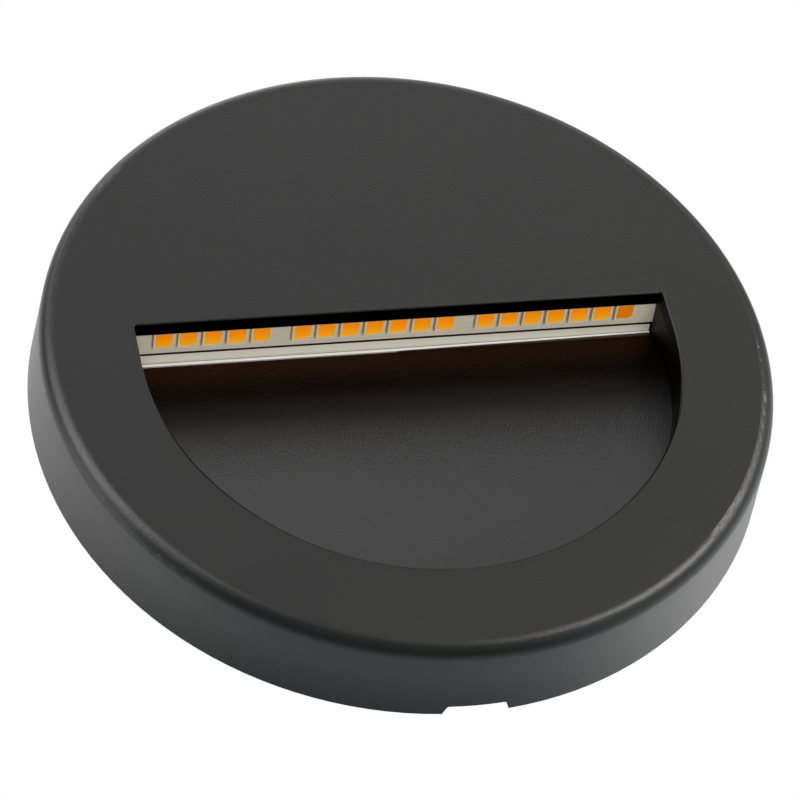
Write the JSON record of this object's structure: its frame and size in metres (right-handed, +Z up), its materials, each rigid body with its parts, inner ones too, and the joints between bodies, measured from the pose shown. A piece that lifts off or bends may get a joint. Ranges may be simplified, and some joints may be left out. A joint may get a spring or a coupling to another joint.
{
  "type": "wall light",
  "caption": "Flat round wall light with a half-moon window: a hidden row of LEDs shines down over a sloping grained floor; the cover pulls off a base plate that stays on the wall.",
  "frame": {"origin": "middle of the base plate's rear face, on the wall", "axes": "+Y into the wall, front towards -Y, +Z up, X to the right seen from the front"},
  "size_m": [0.1, 0.0128, 0.0999],
  "materials": {
    "cover_coat": "matte",
    "scoop_plastic": "matte",
    "base_plastic": "matte",
    "foam": "matte",
    "screw_steel": "satin",
    "spring_steel": "satin",
    "carrier_aluminium": "satin",
    "reflector_aluminium": "satin",
    "board_laminate": "satin",
    "tape": "matte",
    "led_body": "satin",
    "led_phosphor": "satin",
    "case_plastic": "satin",
    "resin": "gloss",
    "block_plastic": "satin",
    "brass": "satin",
    "grommet_rubber": "matte",
    "lead_brown": "satin",
    "lead_blue": "satin",
    "lead_red": "satin",
    "lead_black": "satin"
  },
  "bodies": {
    "base": {"base_plate": "base_plastic", "wall_seal": "foam", "light_scoop": "scoop_plastic", "scoop_screws": "screw_steel", "board_carrier": "carrier_aluminium", "carrier_screws": "screw_steel", "reflector_strip": "reflector_aluminium", "led_board": "board_laminate", "thermal_tape": "tape", "led_packages": "led_body", "led_phosphors": "led_phosphor", "driver_case": "case_plastic", "driver_potting": "resin", "driver_screw": "screw_steel", "terminal_block": "block_plastic", "terminal_clamps": "brass", "terminal_screws": "screw_steel", "block_screw": "screw_steel", "cable_grommet": "grommet_rubber", "supply_lead_a": "lead_brown", "supply_lead_b": "lead_blue", "led_lead_a": "lead_red", "led_lead_b": "lead_black", "cover_clips": "spring_steel"},
    "cover": {"front_cover": "cover_coat"}
  },
  "joints": [
    {"name": "cover_release", "type": "slide", "parent": "base", "child": "cover", "axis": [0, -1, 0], "range_m": [0, 0.03]}
  ]
}
